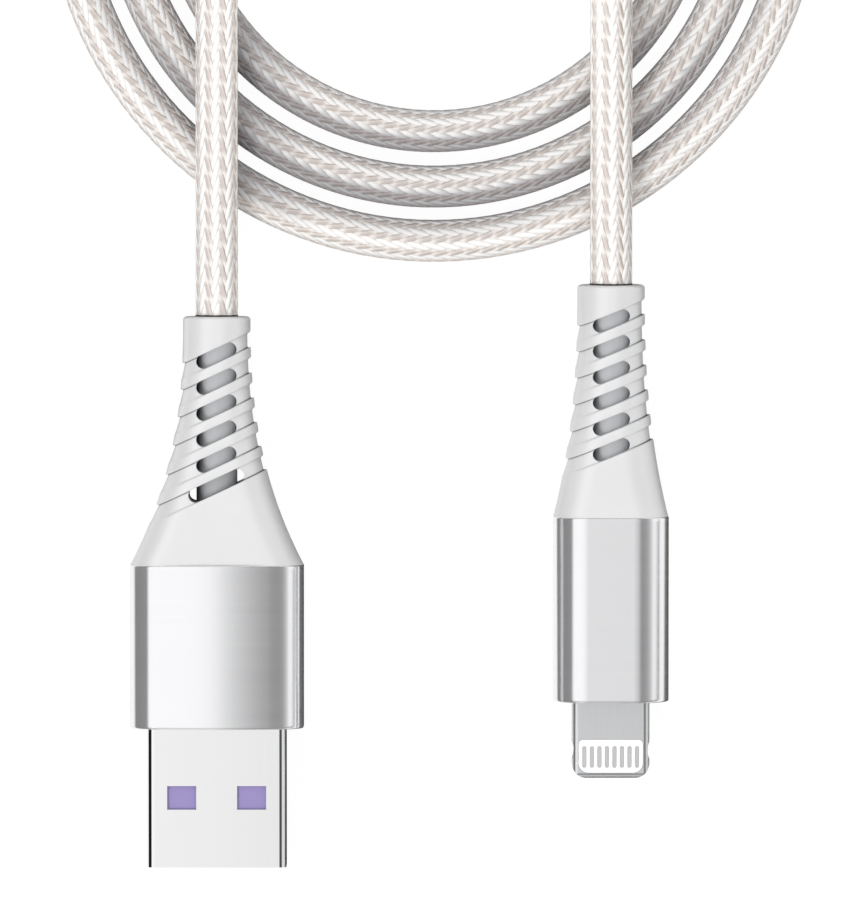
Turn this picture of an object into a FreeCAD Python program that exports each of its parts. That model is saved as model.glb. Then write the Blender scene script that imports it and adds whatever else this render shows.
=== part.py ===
"""Charging cable: a braided cord wound in three turns, with a charger plug and a phone plug.

Lengths are millimetres. The cable lies on a table, +X to the right, +Y towards the coil, +Z up.
The origin is on the table, in the middle of the two plugs. Each plug is built on its own axis,
from its housing's front face (y = 0) towards the cord, and is then set down on the table.
"""
import FreeCAD, Part
import math
import os

from FreeCAD import Vector

# Cord
cord_diameter = 3.6
cord_sides = 10
crossing_gap = 0.5
joint_run = 3.6

# Coil, measured on the cord's centre line
turn_radii = (22.4, 27.2, 31.9)
coil_centre_y = 60.82
charger_leg_from_centre = -18.74
phone_leg_from_centre = 15.29
entry_top = (1.83, 20.6, 4.2)
entry_fall = 0.08
exit_top = (-4.3, 27.3, 8.0)
least_gap_wanted = 0.4
gap_step = 0.8

# Fits
slide_clearance = 0.05
pocket_clearance = 0.02

# Charger plug housing, an aluminium sleeve with crowned faces
charger_width = 15.0
charger_thickness = 7.8
charger_length = 14.1
charger_corner = 2.5
charger_crown = 40.0
charger_wall = 0.8
charger_lip = 1.2

# Charger plug nose, a folded steel shell round an insulating tongue
shell_width = 12.0
shell_thickness = 4.5
shell_sheet = 0.32
shell_corner = 0.6
shell_reach = 12.0
shell_inside = 6.7
window_width = 2.5
window_length = 2.04
window_spacing = 6.03
window_from_nose = 5.0
tongue_thickness = 1.84
tongue_setback = 0.4
tongue_chamfer = 0.35
tongue_block_from_nose = 11.0
power_contact_length = 7.4
data_contact_length = 6.4
power_contact_spacing = 7.0
data_contact_spacing = 2.0
charger_contact_width = 1.0
charger_contact_sheet = 0.25
charger_contact_proud = 0.1
charger_contact_setback = 1.0

# Phone plug housing, a flat-faced aluminium sleeve
phone_width = 10.0
phone_thickness = 6.0
phone_length = 16.0
phone_corner = 2.65
phone_wall = 0.8
phone_lip = 1.0

# Phone plug tab, a metal frame round a contact bed that shows on both faces
tab_width = 6.7
tab_thickness = 1.5
tab_reach = 6.7
tab_inside = 5.0
tab_side_round = 0.5
tab_nose_round = 0.45
tab_corner = 1.3
notch_from_nose = 2.4
notch_length = 1.5
notch_depth = 0.15
bed_width = 5.6
bed_length = 2.9
bed_from_nose = 0.45
bed_nose_corner = 0.9
bed_rear_corner = 0.4
bed_sunk = 0.02
phone_contact_count = 8
phone_contact_pitch = 0.65
phone_contact_width = 0.32
phone_contact_length = 1.82
phone_contact_from_nose = 0.94
phone_contact_sheet = 0.15
phone_contact_bevel = 0.1

# Strain reliefs, flared sleeves with raked grooves that are slotted through to the cord
relief_flare = 2.45
relief_step_in = 0.05
relief_tail_width = 5.8
relief_tail_thickness = 5.5
relief_least_flat = 0.1
relief_tail_bevel = 0.3
relief_stations = (0.0, 0.06, 0.14, 0.24, 0.36, 0.52, 0.74)
relief_corner_facets = 6
relief_bore_facets = 16
slot_end_facets = 6
groove_depth = 0.28
slot_width = 1.22
core_diameter = 3.54
core_clearance = 0.02
charger_relief_length = 21.4
charger_slot_count = 6
charger_slot_pitch = 2.24
charger_slot_from_tail = 3.32
charger_slot_angle = 25.0
charger_slot_length = 3.72
charger_open_slot_length = 5.2
phone_relief_length = 20.0
phone_slot_count = 6
phone_slot_pitch = 2.22
phone_slot_from_tail = 3.02
phone_slot_angle = 22.0
phone_slot_length = 3.36

# Lie of the plugs
nose_offset = 7.58

UP = Vector(0, 0, 1)
ALONG = Vector(0, 1, 0)
ACROSS = Vector(1, 0, 0)


def arc(start, middle, end):
    return Part.Arc(start, middle, end).toShape()


def line(start, end):
    return Part.LineSegment(start, end).toShape()


def box(x_size, y_from, y_to, z_from, z_to, x_mid=0.0):
    """A box centred across on x_mid."""
    corner = Vector(x_mid - x_size / 2, y_from, z_from)
    return Part.makeBox(x_size, y_to - y_from, z_to - z_from, corner)


def sleeve_section(width, thickness, corner, crown, y):
    """Rounded oblong across the axis. A crown is the radius of its front and back faces, None for flat."""
    side = width / 2
    face = thickness / 2
    corner_x = side - corner
    if crown is None:
        corner_z = face - corner
        lean = math.radians(90)
    else:
        crown_z = face - crown
        corner_z = crown_z + math.sqrt((crown - corner) ** 2 - corner_x ** 2)
        lean = math.atan2(corner_z - crown_z, corner_x)
    edges = []
    quarters = ((1, 1), (-1, 1), (-1, -1), (1, -1))
    ends = []
    for sx, sz in quarters:
        centre = Vector(sx * corner_x, y, sz * corner_z)
        flank = centre + Vector(sx * corner, 0, 0)
        half = lean / 2
        middle = centre + Vector(sx * corner * math.cos(half), 0, sz * corner * math.sin(half))
        brow = centre + Vector(sx * corner * math.cos(lean), 0, sz * corner * math.sin(lean))
        ends.append((flank, middle, brow))
    for index in range(4):
        flank, middle, brow = ends[index]
        next_flank, next_middle, next_brow = ends[(index + 1) % 4]
        if index % 2 == 0:
            edges.append(arc(flank, middle, brow))
            if crown is None:
                edges.append(line(brow, next_brow))
            else:
                top = Vector(0, y, quarters[index][1] * face)
                edges.append(arc(brow, top, next_brow))
        else:
            edges.append(arc(brow, middle, flank))
            edges.append(line(flank, next_flank))
    return Part.Wire(edges)


def sleeve_prism(width, thickness, corner, crown, y_from, y_to):
    section = sleeve_section(width, thickness, corner, crown, y_from)
    return Part.Face(section).extrude(ALONG * (y_to - y_from))


def make_housing(width, thickness, corner, crown, length, wall, lip, opening):
    """Sleeve closed at the front by a lip, which the nose passes through."""
    outer = sleeve_prism(width, thickness, corner, crown, 0, length)
    inner_crown = None if crown is None else crown - wall
    inner = sleeve_prism(width - 2 * wall, thickness - 2 * wall, corner - wall, inner_crown, lip, length)
    return outer.cut(inner).cut(opening)


def make_mould(width, thickness, corner, crown, length, wall, lip, nose):
    """Moulded filling of a housing, cut out round the nose's inner end."""
    inset = wall + slide_clearance
    inner_crown = None if crown is None else crown - inset
    body = sleeve_prism(width - 2 * inset, thickness - 2 * inset, corner - inset, inner_crown, lip, length)
    return body.cut(nose)


def faceted_section(width, thickness, corner, y):
    """Corners of a flat-sided oblong whose rounded corners are evenly faceted."""
    corner_x = width / 2 - corner
    corner_z = thickness / 2 - corner
    points = []
    for quarter, (sx, sz) in enumerate(((1, 1), (-1, 1), (-1, -1), (1, -1))):
        for step in range(relief_corner_facets + 1):
            angle = math.radians(90) * (quarter + step / relief_corner_facets)
            x = sx * corner_x + corner * math.cos(angle)
            z = sz * corner_z + corner * math.sin(angle)
            points.append(Vector(x, y, z))
    return points


def faceted_solid(sections):
    """Closed solid through sections with as many corners each, whose matching sides are parallel."""
    faces = []
    for near, far in zip(sections, sections[1:]):
        for index in range(len(near)):
            following = (index + 1) % len(near)
            corners = [near[index], near[following], far[following], far[index], near[index]]
            faces.append(Part.Face(Part.makePolygon(corners)))
    for section in (sections[0], sections[-1]):
        faces.append(Part.Face(Part.makePolygon(section + section[:1])))
    return Part.Solid(Part.Shell(faces))


def brow_height(thickness, width, corner, crown):
    """Height at which a housing's face turns into its rounded corner."""
    if crown is None:
        return thickness / 2
    crown_z = thickness / 2 - crown
    rise = math.sqrt((crown - corner) ** 2 - (width / 2 - corner) ** 2)
    return crown_z + rise * crown / (crown - corner)


def flare_body(width, thickness, corner, base, length, inset):
    """Flared sleeve from the housing to the cord, drawn in by inset all round, bevelled at its tail."""
    corner = min(corner, relief_tail_thickness / 2 - relief_least_flat)
    bevel_share = relief_tail_bevel / length
    sections = []
    for share in relief_stations + (1 - bevel_share, 1):
        swell = (1 - share) ** relief_flare
        wide = relief_tail_width + (width - relief_tail_width) * swell
        thick = relief_tail_thickness + (thickness - relief_tail_thickness) * swell
        draw_in = inset + (relief_tail_bevel if share == 1 else 0)
        place = base + share * length
        section = faceted_section(wide - 2 * draw_in, thick - 2 * draw_in, corner - draw_in, place)
        sections.append(section)
    return faceted_solid(sections)


def raked_slot(centre_y, angle, length, depth):
    """Slot with faceted round ends right through, front to back, rising to the right."""
    reach = length / 2 - slot_width / 2
    radius = slot_width / 2
    turn = FreeCAD.Rotation(UP, angle)
    place = Vector(0, centre_y, -depth)
    points = []
    for end in (1, -1):
        for step in range(slot_end_facets + 1):
            swing = math.radians(180) * (step / slot_end_facets - 0.5)
            corner = Vector(end * (reach + radius * math.cos(swing)), end * radius * math.sin(swing), 0)
            points.append(place + turn.multVec(corner))
    return Part.Face(Part.makePolygon(points + points[:1])).extrude(UP * (2 * depth))


def raked_groove(centre_y, angle, width, depth):
    """Slab as wide as a slot, which the groove's floor is then taken from."""
    slab = Part.makeBox(3 * width, slot_width, 2 * depth, Vector(-1.5 * width, -slot_width / 2, -depth))
    slab.Placement = FreeCAD.Placement(Vector(0, centre_y, 0), FreeCAD.Rotation(UP, angle))
    return slab


def make_relief(width, thickness, corner, crown, base, length, slots, angle):
    """slots holds the centre along the axis and the length of each slot."""
    wide = width - 2 * relief_step_in
    thick = 2 * (brow_height(thickness, width, corner, crown) - relief_step_in)
    outer = flare_body(wide, thick, corner, base, length, 0)
    floor = flare_body(wide, thick, corner, base, length, groove_depth)
    grooves = [raked_groove(place, angle, width, thickness).cut(floor) for place, slot_length in slots]
    openings = [raked_slot(place, angle, slot_length, thickness) for place, slot_length in slots]
    bore_radius = (core_diameter / 2 + core_clearance) / math.cos(math.pi / relief_bore_facets)
    bore_points = []
    for step in range(relief_bore_facets + 1):
        swing = 2 * math.pi * step / relief_bore_facets
        bore_points.append(Vector(bore_radius * math.cos(swing), base, bore_radius * math.sin(swing)))
    bore = Part.Face(Part.makePolygon(bore_points)).extrude(ALONG * length)
    return outer.cut(grooves).cut(openings).cut(bore)


def make_core(base, length):
    """Smooth end of the cord inside a relief, which its slots show."""
    return Part.makeCylinder(core_diameter / 2, length, Vector(0, base, 0), ALONG)


def make_shell():
    half = shell_thickness / 2
    nose = -shell_reach
    outer = sleeve_prism(shell_width, shell_thickness, shell_corner, None, nose, shell_inside)
    inner_width = shell_width - 2 * shell_sheet
    inner_thickness = shell_thickness - 2 * shell_sheet
    inner_corner = shell_corner - shell_sheet
    inner = sleeve_prism(inner_width, inner_thickness, inner_corner, None, nose, shell_inside)
    shell = outer.cut(inner)
    first = nose + window_from_nose
    windows = []
    for side in (-1, 1):
        middle = side * window_spacing / 2
        windows.append(box(window_width, first, first + window_length, -half, half, middle))
    return shell.cut(windows)


def charger_contact_places():
    """Centre across and length of each contact, in order across the tongue."""
    return (
        (-power_contact_spacing / 2, power_contact_length),
        (-data_contact_spacing / 2, data_contact_length),
        (data_contact_spacing / 2, data_contact_length),
        (power_contact_spacing / 2, power_contact_length),
    )


def charger_contact(middle, length, grow):
    """Contact strip under the tongue, or with grow its pocket."""
    back = -shell_reach + tongue_setback + charger_contact_setback + power_contact_length
    under = tongue_under() - charger_contact_proud
    strip = box(
        charger_contact_width + 2 * grow,
        back - length - grow,
        back + grow,
        under - grow,
        under + charger_contact_sheet + grow,
        middle,
    )
    return strip


def tongue_under():
    return shell_thickness / 2 - shell_sheet - tongue_thickness


def make_tongue():
    """Tongue against the shell's front wall, with the block that closes the shell behind it."""
    top = shell_thickness / 2 - shell_sheet - pocket_clearance
    width = shell_width - 2 * shell_sheet - 2 * pocket_clearance
    nose = -shell_reach + tongue_setback
    under = tongue_under()
    block_from = -shell_reach + tongue_block_from_nose
    profile = Part.makePolygon([
        Vector(-width / 2, nose + tongue_chamfer, under),
        Vector(-width / 2, nose, under + tongue_chamfer),
        Vector(-width / 2, nose, top),
        Vector(-width / 2, shell_inside, top),
        Vector(-width / 2, shell_inside, -top),
        Vector(-width / 2, block_from, -top),
        Vector(-width / 2, block_from, under),
        Vector(-width / 2, nose + tongue_chamfer, under),
    ])
    solid = Part.Face(profile).extrude(ACROSS * width)
    inner_corner = shell_corner - shell_sheet
    limit = sleeve_prism(width, 2 * top, inner_corner, None, -shell_reach, shell_inside)
    solid = solid.common(limit)
    pockets = [charger_contact(middle, length, pocket_clearance) for middle, length in charger_contact_places()]
    return solid.cut(pockets)


def make_tab():
    """Metal frame: its plan, its section and its side view cut each other's edges round."""
    half = tab_width / 2
    nose = -tab_reach
    rear = tab_inside
    bend = tab_corner * (1 - math.cos(math.radians(45)))
    outline = Part.Wire([
        line(Vector(-half + tab_corner, nose, -tab_thickness), Vector(half - tab_corner, nose, -tab_thickness)),
        arc(
            Vector(half - tab_corner, nose, -tab_thickness),
            Vector(half - bend, nose + bend, -tab_thickness),
            Vector(half, nose + tab_corner, -tab_thickness),
        ),
        line(Vector(half, nose + tab_corner, -tab_thickness), Vector(half, rear, -tab_thickness)),
        line(Vector(half, rear, -tab_thickness), Vector(-half, rear, -tab_thickness)),
        line(Vector(-half, rear, -tab_thickness), Vector(-half, nose + tab_corner, -tab_thickness)),
        arc(
            Vector(-half, nose + tab_corner, -tab_thickness),
            Vector(-half + bend, nose + bend, -tab_thickness),
            Vector(-half + tab_corner, nose, -tab_thickness),
        ),
    ])
    plan = Part.Face(outline).extrude(UP * (2 * tab_thickness))
    section = sleeve_prism(tab_width, tab_thickness, tab_side_round, None, nose, rear)
    face = tab_thickness / 2
    lift = tab_nose_round * (1 - math.cos(math.radians(45)))
    side = Part.Wire([
        line(Vector(-half, rear, -face), Vector(-half, nose + tab_nose_round, -face)),
        arc(
            Vector(-half, nose + tab_nose_round, -face),
            Vector(-half, nose + lift, -face + lift),
            Vector(-half, nose, -face + tab_nose_round),
        ),
        line(Vector(-half, nose, -face + tab_nose_round), Vector(-half, nose, face - tab_nose_round)),
        arc(
            Vector(-half, nose, face - tab_nose_round),
            Vector(-half, nose + lift, face - lift),
            Vector(-half, nose + tab_nose_round, face),
        ),
        line(Vector(-half, nose + tab_nose_round, face), Vector(-half, rear, face)),
        line(Vector(-half, rear, face), Vector(-half, rear, -face)),
    ])
    side_view = Part.Face(side).extrude(ACROSS * tab_width)
    tab = plan.common(section).common(side_view)
    notch_radius = (notch_length ** 2 / 4 + notch_depth ** 2) / (2 * notch_depth)
    notches = []
    for way in (-1, 1):
        centre = Vector(way * (half + notch_radius - notch_depth), nose + notch_from_nose, -tab_thickness)
        notches.append(Part.makeCylinder(notch_radius, 2 * tab_thickness, centre, UP))
    tab = tab.cut(notches)
    return tab.cut(bed_prism(0, 0))


def bed_prism(inset, sunk):
    """Contact bed, or with no inset the frame's window for it."""
    half = bed_width / 2 - inset
    front = -tab_reach + bed_from_nose + inset
    rear = -tab_reach + bed_from_nose + bed_length - inset
    bottom = -tab_thickness / 2 + sunk
    first = bed_nose_corner - inset
    last = bed_rear_corner - inset
    first_bend = first * (1 - math.cos(math.radians(45)))
    last_bend = last * (1 - math.cos(math.radians(45)))
    points = (
        (-half + first, front), (half - first, front),
        (half - first_bend, front + first_bend), (half, front + first),
        (half, rear - last),
        (half - last_bend, rear - last_bend), (half - last, rear),
        (-half + last, rear),
        (-half + last_bend, rear - last_bend), (-half, rear - last),
        (-half, front + first),
        (-half + first_bend, front + first_bend),
    )
    at = [Vector(x, y, bottom) for x, y in points]
    outline = Part.Wire([
        line(at[0], at[1]), arc(at[1], at[2], at[3]), line(at[3], at[4]), arc(at[4], at[5], at[6]),
        line(at[6], at[7]), arc(at[7], at[8], at[9]), line(at[9], at[10]), arc(at[10], at[11], at[0]),
    ])
    return Part.Face(outline).extrude(UP * (tab_thickness - 2 * sunk))


def phone_contact(index, face, grow):
    """Contact bar with bevelled ends in the bed's front (face 1) or back (face -1), or its pocket."""
    middle = (index - (phone_contact_count - 1) / 2) * phone_contact_pitch
    half = phone_contact_width / 2 + grow
    first = -tab_reach + phone_contact_from_nose - grow
    last = first + phone_contact_length + 2 * grow
    bevel = phone_contact_bevel
    level = face * (tab_thickness / 2 - phone_contact_sheet - grow)
    corners = (
        (half, first + bevel), (half, last - bevel), (half - bevel, last), (-half + bevel, last),
        (-half, last - bevel), (-half, first + bevel), (-half + bevel, first), (half - bevel, first),
    )
    points = [Vector(middle + x, y, level) for x, y in corners]
    outline = Part.makePolygon(points + points[:1])
    return Part.Face(outline).extrude(UP * (face * (phone_contact_sheet + grow)))


def make_bed():
    pockets = []
    for face in (1, -1):
        for index in range(phone_contact_count):
            pockets.append(phone_contact(index, face, pocket_clearance))
    return bed_prism(pocket_clearance, bed_sunk).cut(pockets)


def cord_section(centre, direction, side):
    """Regular polygon with the circle's area, one flat side down."""
    direction = direction.normalize()
    up = side.cross(direction)
    corners = []
    for index in range(cord_sides + 1):
        angle = 2 * math.pi * (index + 0.5) / cord_sides
        corners.append(centre + side * (cord_circle() * math.sin(angle)) - up * (cord_circle() * math.cos(angle)))
    return Part.makePolygon(corners)


def cord_circle():
    """Radius to the polygon's corners."""
    step = 2 * math.pi / cord_sides
    return cord_diameter / 2 * math.sqrt(step / math.sin(step))


def cord_flat():
    """Radius to the polygon's flat sides, the height of a cord's centre over the table."""
    return cord_circle() * math.cos(math.pi / cord_sides)


def biarc(start, start_way, end, end_way):
    """Two arcs that leave start along start_way and reach end along end_way, smooth where they meet."""
    span = end - start
    both = span.dot(start_way + end_way)
    spread = 1 - start_way.dot(end_way)
    reach = (-both + math.sqrt(both ** 2 + 2 * spread * span.dot(span))) / (2 * spread)
    first_corner = start + start_way * reach
    last_corner = end - end_way * reach
    meeting = (first_corner + last_corner) * 0.5
    edges = []
    for begin, corner, finish in ((start, first_corner, meeting), (meeting, last_corner, end)):
        chord_middle = (begin + finish) * 0.5
        chord = (finish - begin).Length
        top = chord_middle + (corner - chord_middle) * (1 / (1 + 2 * reach / chord))
        edges.append(arc(begin, top, finish))
    return edges


def coil_path(centre, charger_way, charger_height, phone_way, phone_height):
    """Edges of the coil's centre line, from the charger plug's leg to the phone plug's leg.

    The three turns lie on the table. Each is a half circle round the coil's centre below it, and above it
    a half circle that steps out to the next. The first leg comes down into the inner turn from above them,
    and the outer turn climbs over them to the last leg.
    """
    level = cord_flat()

    def at(u, v, height):
        return Vector(centre.x + u, centre.y + v, height)

    start = at(charger_leg_from_centre, 0, charger_height)
    finish = at(phone_leg_from_centre, 0, phone_height)
    downwards = Vector(0, -1, 0)
    entry_way = Vector(1, 0, -entry_fall).normalize()
    edges = [line(start - charger_way * joint_run, start)]
    edges += biarc(start, charger_way, at(*entry_top), entry_way)
    edges += biarc(at(*entry_top), entry_way, at(turn_radii[0], 0, level), downwards)
    for index, radius in enumerate(turn_radii):
        edges.append(arc(at(radius, 0, level), at(radius * math.sqrt(0.5), -radius * math.sqrt(0.5), level),
                         at(0, -radius, level)))
        edges.append(arc(at(0, -radius, level), at(-radius * math.sqrt(0.5), -radius * math.sqrt(0.5), level),
                         at(-radius, 0, level)))
        if index + 1 < len(turn_radii):
            step = (turn_radii[index + 1] - radius) / 2
            wide = radius + step
            edges.append(arc(at(-radius, 0, level), at(step, wide, level), at(turn_radii[index + 1], 0, level)))
    outer = turn_radii[-1]
    edges += biarc(at(-outer, 0, level), ALONG, at(*exit_top), ACROSS)
    edges += biarc(at(*exit_top), ACROSS, finish, phone_way)
    edges.append(line(finish, finish + phone_way * joint_run))
    return edges


def sweep(path, section):
    shell = Part.BRepOffsetAPI.MakePipeShell(path)
    shell.add(section)
    shell.build()
    shell.makeSolid()
    return shell.shape()


def least_gap(edges):
    """Least distance between stretches of the coil that lie well apart along it, less the cord."""
    points = []
    travelled = 0.0
    for edge in edges:
        count = max(2, int(edge.Length / gap_step))
        for index in range(count):
            share = index / count
            parameter = edge.FirstParameter + (edge.LastParameter - edge.FirstParameter) * share
            points.append((travelled + edge.Length * share, edge.valueAt(parameter)))
        travelled += edge.Length
    apart = 3 * cord_diameter
    least = None
    for index, (first_along, first) in enumerate(points):
        for second_along, second in points[index + 1:]:
            if second_along - first_along < apart:
                continue
            distance = first.distanceToPoint(second)
            if least is None or distance < least:
                least = distance
    return least - 2 * cord_circle()


def leg_distance(leg_from_centre):
    """From the coil's centre down to where a leg crosses the outer turn."""
    return math.sqrt(turn_radii[-1] ** 2 - leg_from_centre ** 2)


def main():
    os.makedirs("parts", exist_ok=True)
    nodes = {}

    # Charger plug on its own axis
    shell_hole = sleeve_prism(shell_width + 2 * slide_clearance, shell_thickness + 2 * slide_clearance,
                              shell_corner + slide_clearance, None, -charger_lip, shell_inside)
    charger = {
        "charger_plug_shell": make_shell(),
        "charger_plug_tongue": make_tongue(),
        "charger_housing": make_housing(charger_width, charger_thickness, charger_corner, charger_crown,
                                        charger_length, charger_wall, charger_lip, shell_hole),
        "charger_inner_mould": make_mould(charger_width, charger_thickness, charger_corner, charger_crown,
                                          charger_length, charger_wall, charger_lip, shell_hole),
    }
    for index, (middle, length) in enumerate(charger_contact_places()):
        charger[f"charger_contact_{index + 1}"] = charger_contact(middle, length, 0)
    charger_tail = charger_length + charger_relief_length
    charger_slots = []
    for index in range(charger_slot_count):
        place = charger_tail - charger_slot_from_tail - index * charger_slot_pitch
        last = index == charger_slot_count - 1
        charger_slots.append((place, charger_open_slot_length if last else charger_slot_length))
    charger["charger_strain_relief"] = make_relief(charger_width, charger_thickness, charger_corner, charger_crown,
                                                   charger_length, charger_relief_length, charger_slots,
                                                   charger_slot_angle)
    charger["charger_cord_core"] = make_core(charger_length, charger_relief_length)

    # Phone plug on its own axis
    tab_hole = sleeve_prism(tab_width + 2 * slide_clearance, tab_thickness + 2 * slide_clearance,
                            tab_side_round + slide_clearance, None, -phone_lip, tab_inside)
    phone = {
        "phone_tab_frame": make_tab(),
        "phone_contact_bed": make_bed(),
        "phone_housing": make_housing(phone_width, phone_thickness, phone_corner, None,
                                      phone_length, phone_wall, phone_lip, tab_hole),
        "phone_inner_mould": make_mould(phone_width, phone_thickness, phone_corner, None,
                                        phone_length, phone_wall, phone_lip, tab_hole),
    }
    for face, name in ((1, "front"), (-1, "back")):
        for index in range(phone_contact_count):
            phone[f"phone_contact_{name}_{index + 1}"] = phone_contact(index, face, 0)
    phone_tail = phone_length + phone_relief_length
    phone_slots = []
    for index in range(phone_slot_count):
        phone_slots.append((phone_tail - phone_slot_from_tail - index * phone_slot_pitch, phone_slot_length))
    phone["phone_strain_relief"] = make_relief(phone_width, phone_thickness, phone_corner, None,
                                               phone_length, phone_relief_length, phone_slots, phone_slot_angle)
    phone["phone_cord_core"] = make_core(phone_length, phone_relief_length)

    # Where the plugs lie: the legs are as far apart as the coil sets them, and the plugs' box is centred
    plug_spacing = phone_leg_from_centre - charger_leg_from_centre
    charger_x = -(plug_spacing + phone_width / 2 - charger_width / 2) / 2
    phone_x = charger_x + plug_spacing
    plugs_length = nose_offset + tab_reach + phone_tail
    charger_front = -plugs_length / 2 + shell_reach
    phone_front = -plugs_length / 2 + nose_offset + tab_reach
    centre = Vector(charger_x - charger_leg_from_centre, coil_centre_y, 0)

    # Each plug stands on its housing's front edge, and its axis passes over the outer turn
    over = 3 * cord_flat() + crossing_gap
    legs = []
    for pieces, thickness, front, x, tail, from_centre in (
        (charger, charger_thickness, charger_front, charger_x, charger_tail, charger_leg_from_centre),
        (phone, phone_thickness, phone_front, phone_x, phone_tail, phone_leg_from_centre),
    ):
        run = coil_centre_y - leg_distance(from_centre) - front
        tilt = math.asin((over - thickness / 2) / run)
        turn = FreeCAD.Rotation(ACROSS, math.degrees(tilt))
        seat = Vector(x, front, thickness / 2 * math.cos(tilt))
        for name, shape in pieces.items():
            shape.Placement = FreeCAD.Placement(seat, turn).multiply(shape.Placement)
            nodes[name] = shape
        way = Vector(0, math.cos(tilt), math.sin(tilt))
        exit_point = seat + way * tail
        beside_centre = seat + way * ((coil_centre_y - seat.y) / way.y)
        legs.append((way, exit_point, beside_centre))
        print("tilt of a plug, degrees", round(math.degrees(tilt), 2))

    # Cord: two straight legs and the coil
    names = ("cord_charger_leg", "cord_phone_leg")
    for name, (way, exit_point, beside_centre) in zip(names, legs):
        end = beside_centre - way * joint_run
        section = cord_section(exit_point, Vector(way), ACROSS)
        nodes[name] = Part.Face(section).extrude(end - exit_point)
        print(name, "straight run", round((end - exit_point).Length, 2))
    (charger_way, _, charger_side), (phone_way, _, phone_side) = legs
    edges = coil_path(centre, charger_way, charger_side.z, phone_way * -1, phone_side.z)
    path = Part.Wire(edges)
    start_section = cord_section(charger_side - charger_way * joint_run, Vector(charger_way), ACROSS)
    nodes["cord_coil"] = sweep(path, start_section)

    radii = sorted(round(edge.Curve.Radius, 1) for edge in edges if hasattr(edge.Curve, "Radius"))
    area = cord_sides / 2 * cord_circle() ** 2 * math.sin(2 * math.pi / cord_sides)
    print("coil radii", radii)
    print("coil length", round(path.Length, 1), "volume", round(nodes["cord_coil"].Volume, 1),
          "section by length", round(area * path.Length, 1))
    gap = least_gap(edges)
    print("least gap of the coil to itself", round(gap, 2), "enough" if gap > least_gap_wanted else "too small")
    total = path.Length + sum((beside - exit_point).Length - joint_run for way, exit_point, beside in legs)
    print("cord length between the reliefs", round(total, 1))

    for name, shape in nodes.items():
        shape.exportStep(f"parts/{name}.step")
        print(name, "solids", len(shape.Solids), "volume", round(shape.Volume, 2), "valid", shape.isValid())


main()
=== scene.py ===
import math

import bmesh
import bpy
from mathutils import Matrix, Vector


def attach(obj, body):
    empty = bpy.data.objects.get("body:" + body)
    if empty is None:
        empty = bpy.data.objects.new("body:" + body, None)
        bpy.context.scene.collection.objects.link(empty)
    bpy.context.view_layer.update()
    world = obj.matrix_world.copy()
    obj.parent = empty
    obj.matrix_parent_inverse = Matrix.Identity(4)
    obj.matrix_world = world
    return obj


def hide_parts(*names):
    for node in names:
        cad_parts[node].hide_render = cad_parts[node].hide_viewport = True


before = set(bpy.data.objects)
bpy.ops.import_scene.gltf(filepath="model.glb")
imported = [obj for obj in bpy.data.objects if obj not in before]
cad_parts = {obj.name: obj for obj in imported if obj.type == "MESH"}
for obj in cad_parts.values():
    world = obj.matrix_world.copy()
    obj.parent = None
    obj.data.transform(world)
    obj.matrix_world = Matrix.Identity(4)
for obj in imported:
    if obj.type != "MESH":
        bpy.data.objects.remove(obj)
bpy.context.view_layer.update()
print("frame loaded, nodes:", len(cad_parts))

mm = 0.001
scene = bpy.context.scene
scene.view_settings.view_transform = "Standard"


class Value:
    # a socket that can stand in an expression: each operator adds a Math node
    def __init__(self, tree, socket):
        self.tree = tree
        self.socket = socket

    def calc(self, operation, *others):
        return mathNode(self.tree, operation, self, *others)

    def __add__(self, other): return self.calc("ADD", other)
    def __mul__(self, other): return self.calc("MULTIPLY", other)
    def __sub__(self, other): return self.calc("SUBTRACT", other)
    def __rsub__(self, other): return mathNode(self.tree, "SUBTRACT", other, self)
    def __truediv__(self, other): return self.calc("DIVIDE", other)
    def __gt__(self, other): return self.calc("GREATER_THAN", other)
    def __lt__(self, other): return self.calc("LESS_THAN", other)


def fill(tree, socket, item):
    if isinstance(item, Value):
        tree.links.new(item.socket, socket)
    else:
        socket.default_value = item


def mathNode(tree, operation, *items):
    node = tree.nodes.new("ShaderNodeMath")
    node.operation = operation
    for place, item in enumerate(items):
        fill(tree, node.inputs[place], item)
    return Value(tree, node.outputs[0])


def setStops(ramp, stops):
    while len(ramp.elements) > 1:
        ramp.elements.remove(ramp.elements[-1])
    for index, (place, bright) in enumerate(stops):
        element = ramp.elements[0] if index == 0 else ramp.elements.new(place)
        element.position = place
        element.color = (bright, bright, bright, 1)


class Nodes:
    def __init__(self, tree):
        self.tree = tree

    def add(self, kind, settings=None, sockets=None, out=0):
        # any other node: its settings first, then what its sockets hold; out is the name or place of the
        # output wanted, None for all of them
        node = self.tree.nodes.new(kind)
        for name, item in (settings or {}).items():
            if name == "stops":
                setStops(node.color_ramp, item)
            elif name == "captured":
                for label, sort in item.items():
                    node.capture_items.new(sort, label)
            else:
                setattr(node, name, item)
        for name, item in (sockets or {}).items():
            fill(self.tree, node.inputs[name], item)
        if out is None:
            return [Value(self.tree, socket) for socket in node.outputs if socket.name]
        return Value(self.tree, node.outputs[out]) if len(node.outputs) else None


def parts(nodes, vector):
    return nodes.add("ShaderNodeSeparateXYZ", sockets={0: vector}, out=None)


def joined(nodes, **sizes):
    return nodes.add("ShaderNodeCombineXYZ", sockets=sizes)


def vectorMaths(nodes, operation, sockets, out=0):
    return nodes.add("ShaderNodeVectorMath", {"operation": operation}, sockets, out)


def objectPlace(nodes):
    return nodes.add("ShaderNodeTexCoord", out="Object")


def painted(nodes, name):  # a number that the mesh carries
    return nodes.add("ShaderNodeAttribute", {"attribute_name": name}, out="Fac")


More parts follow.
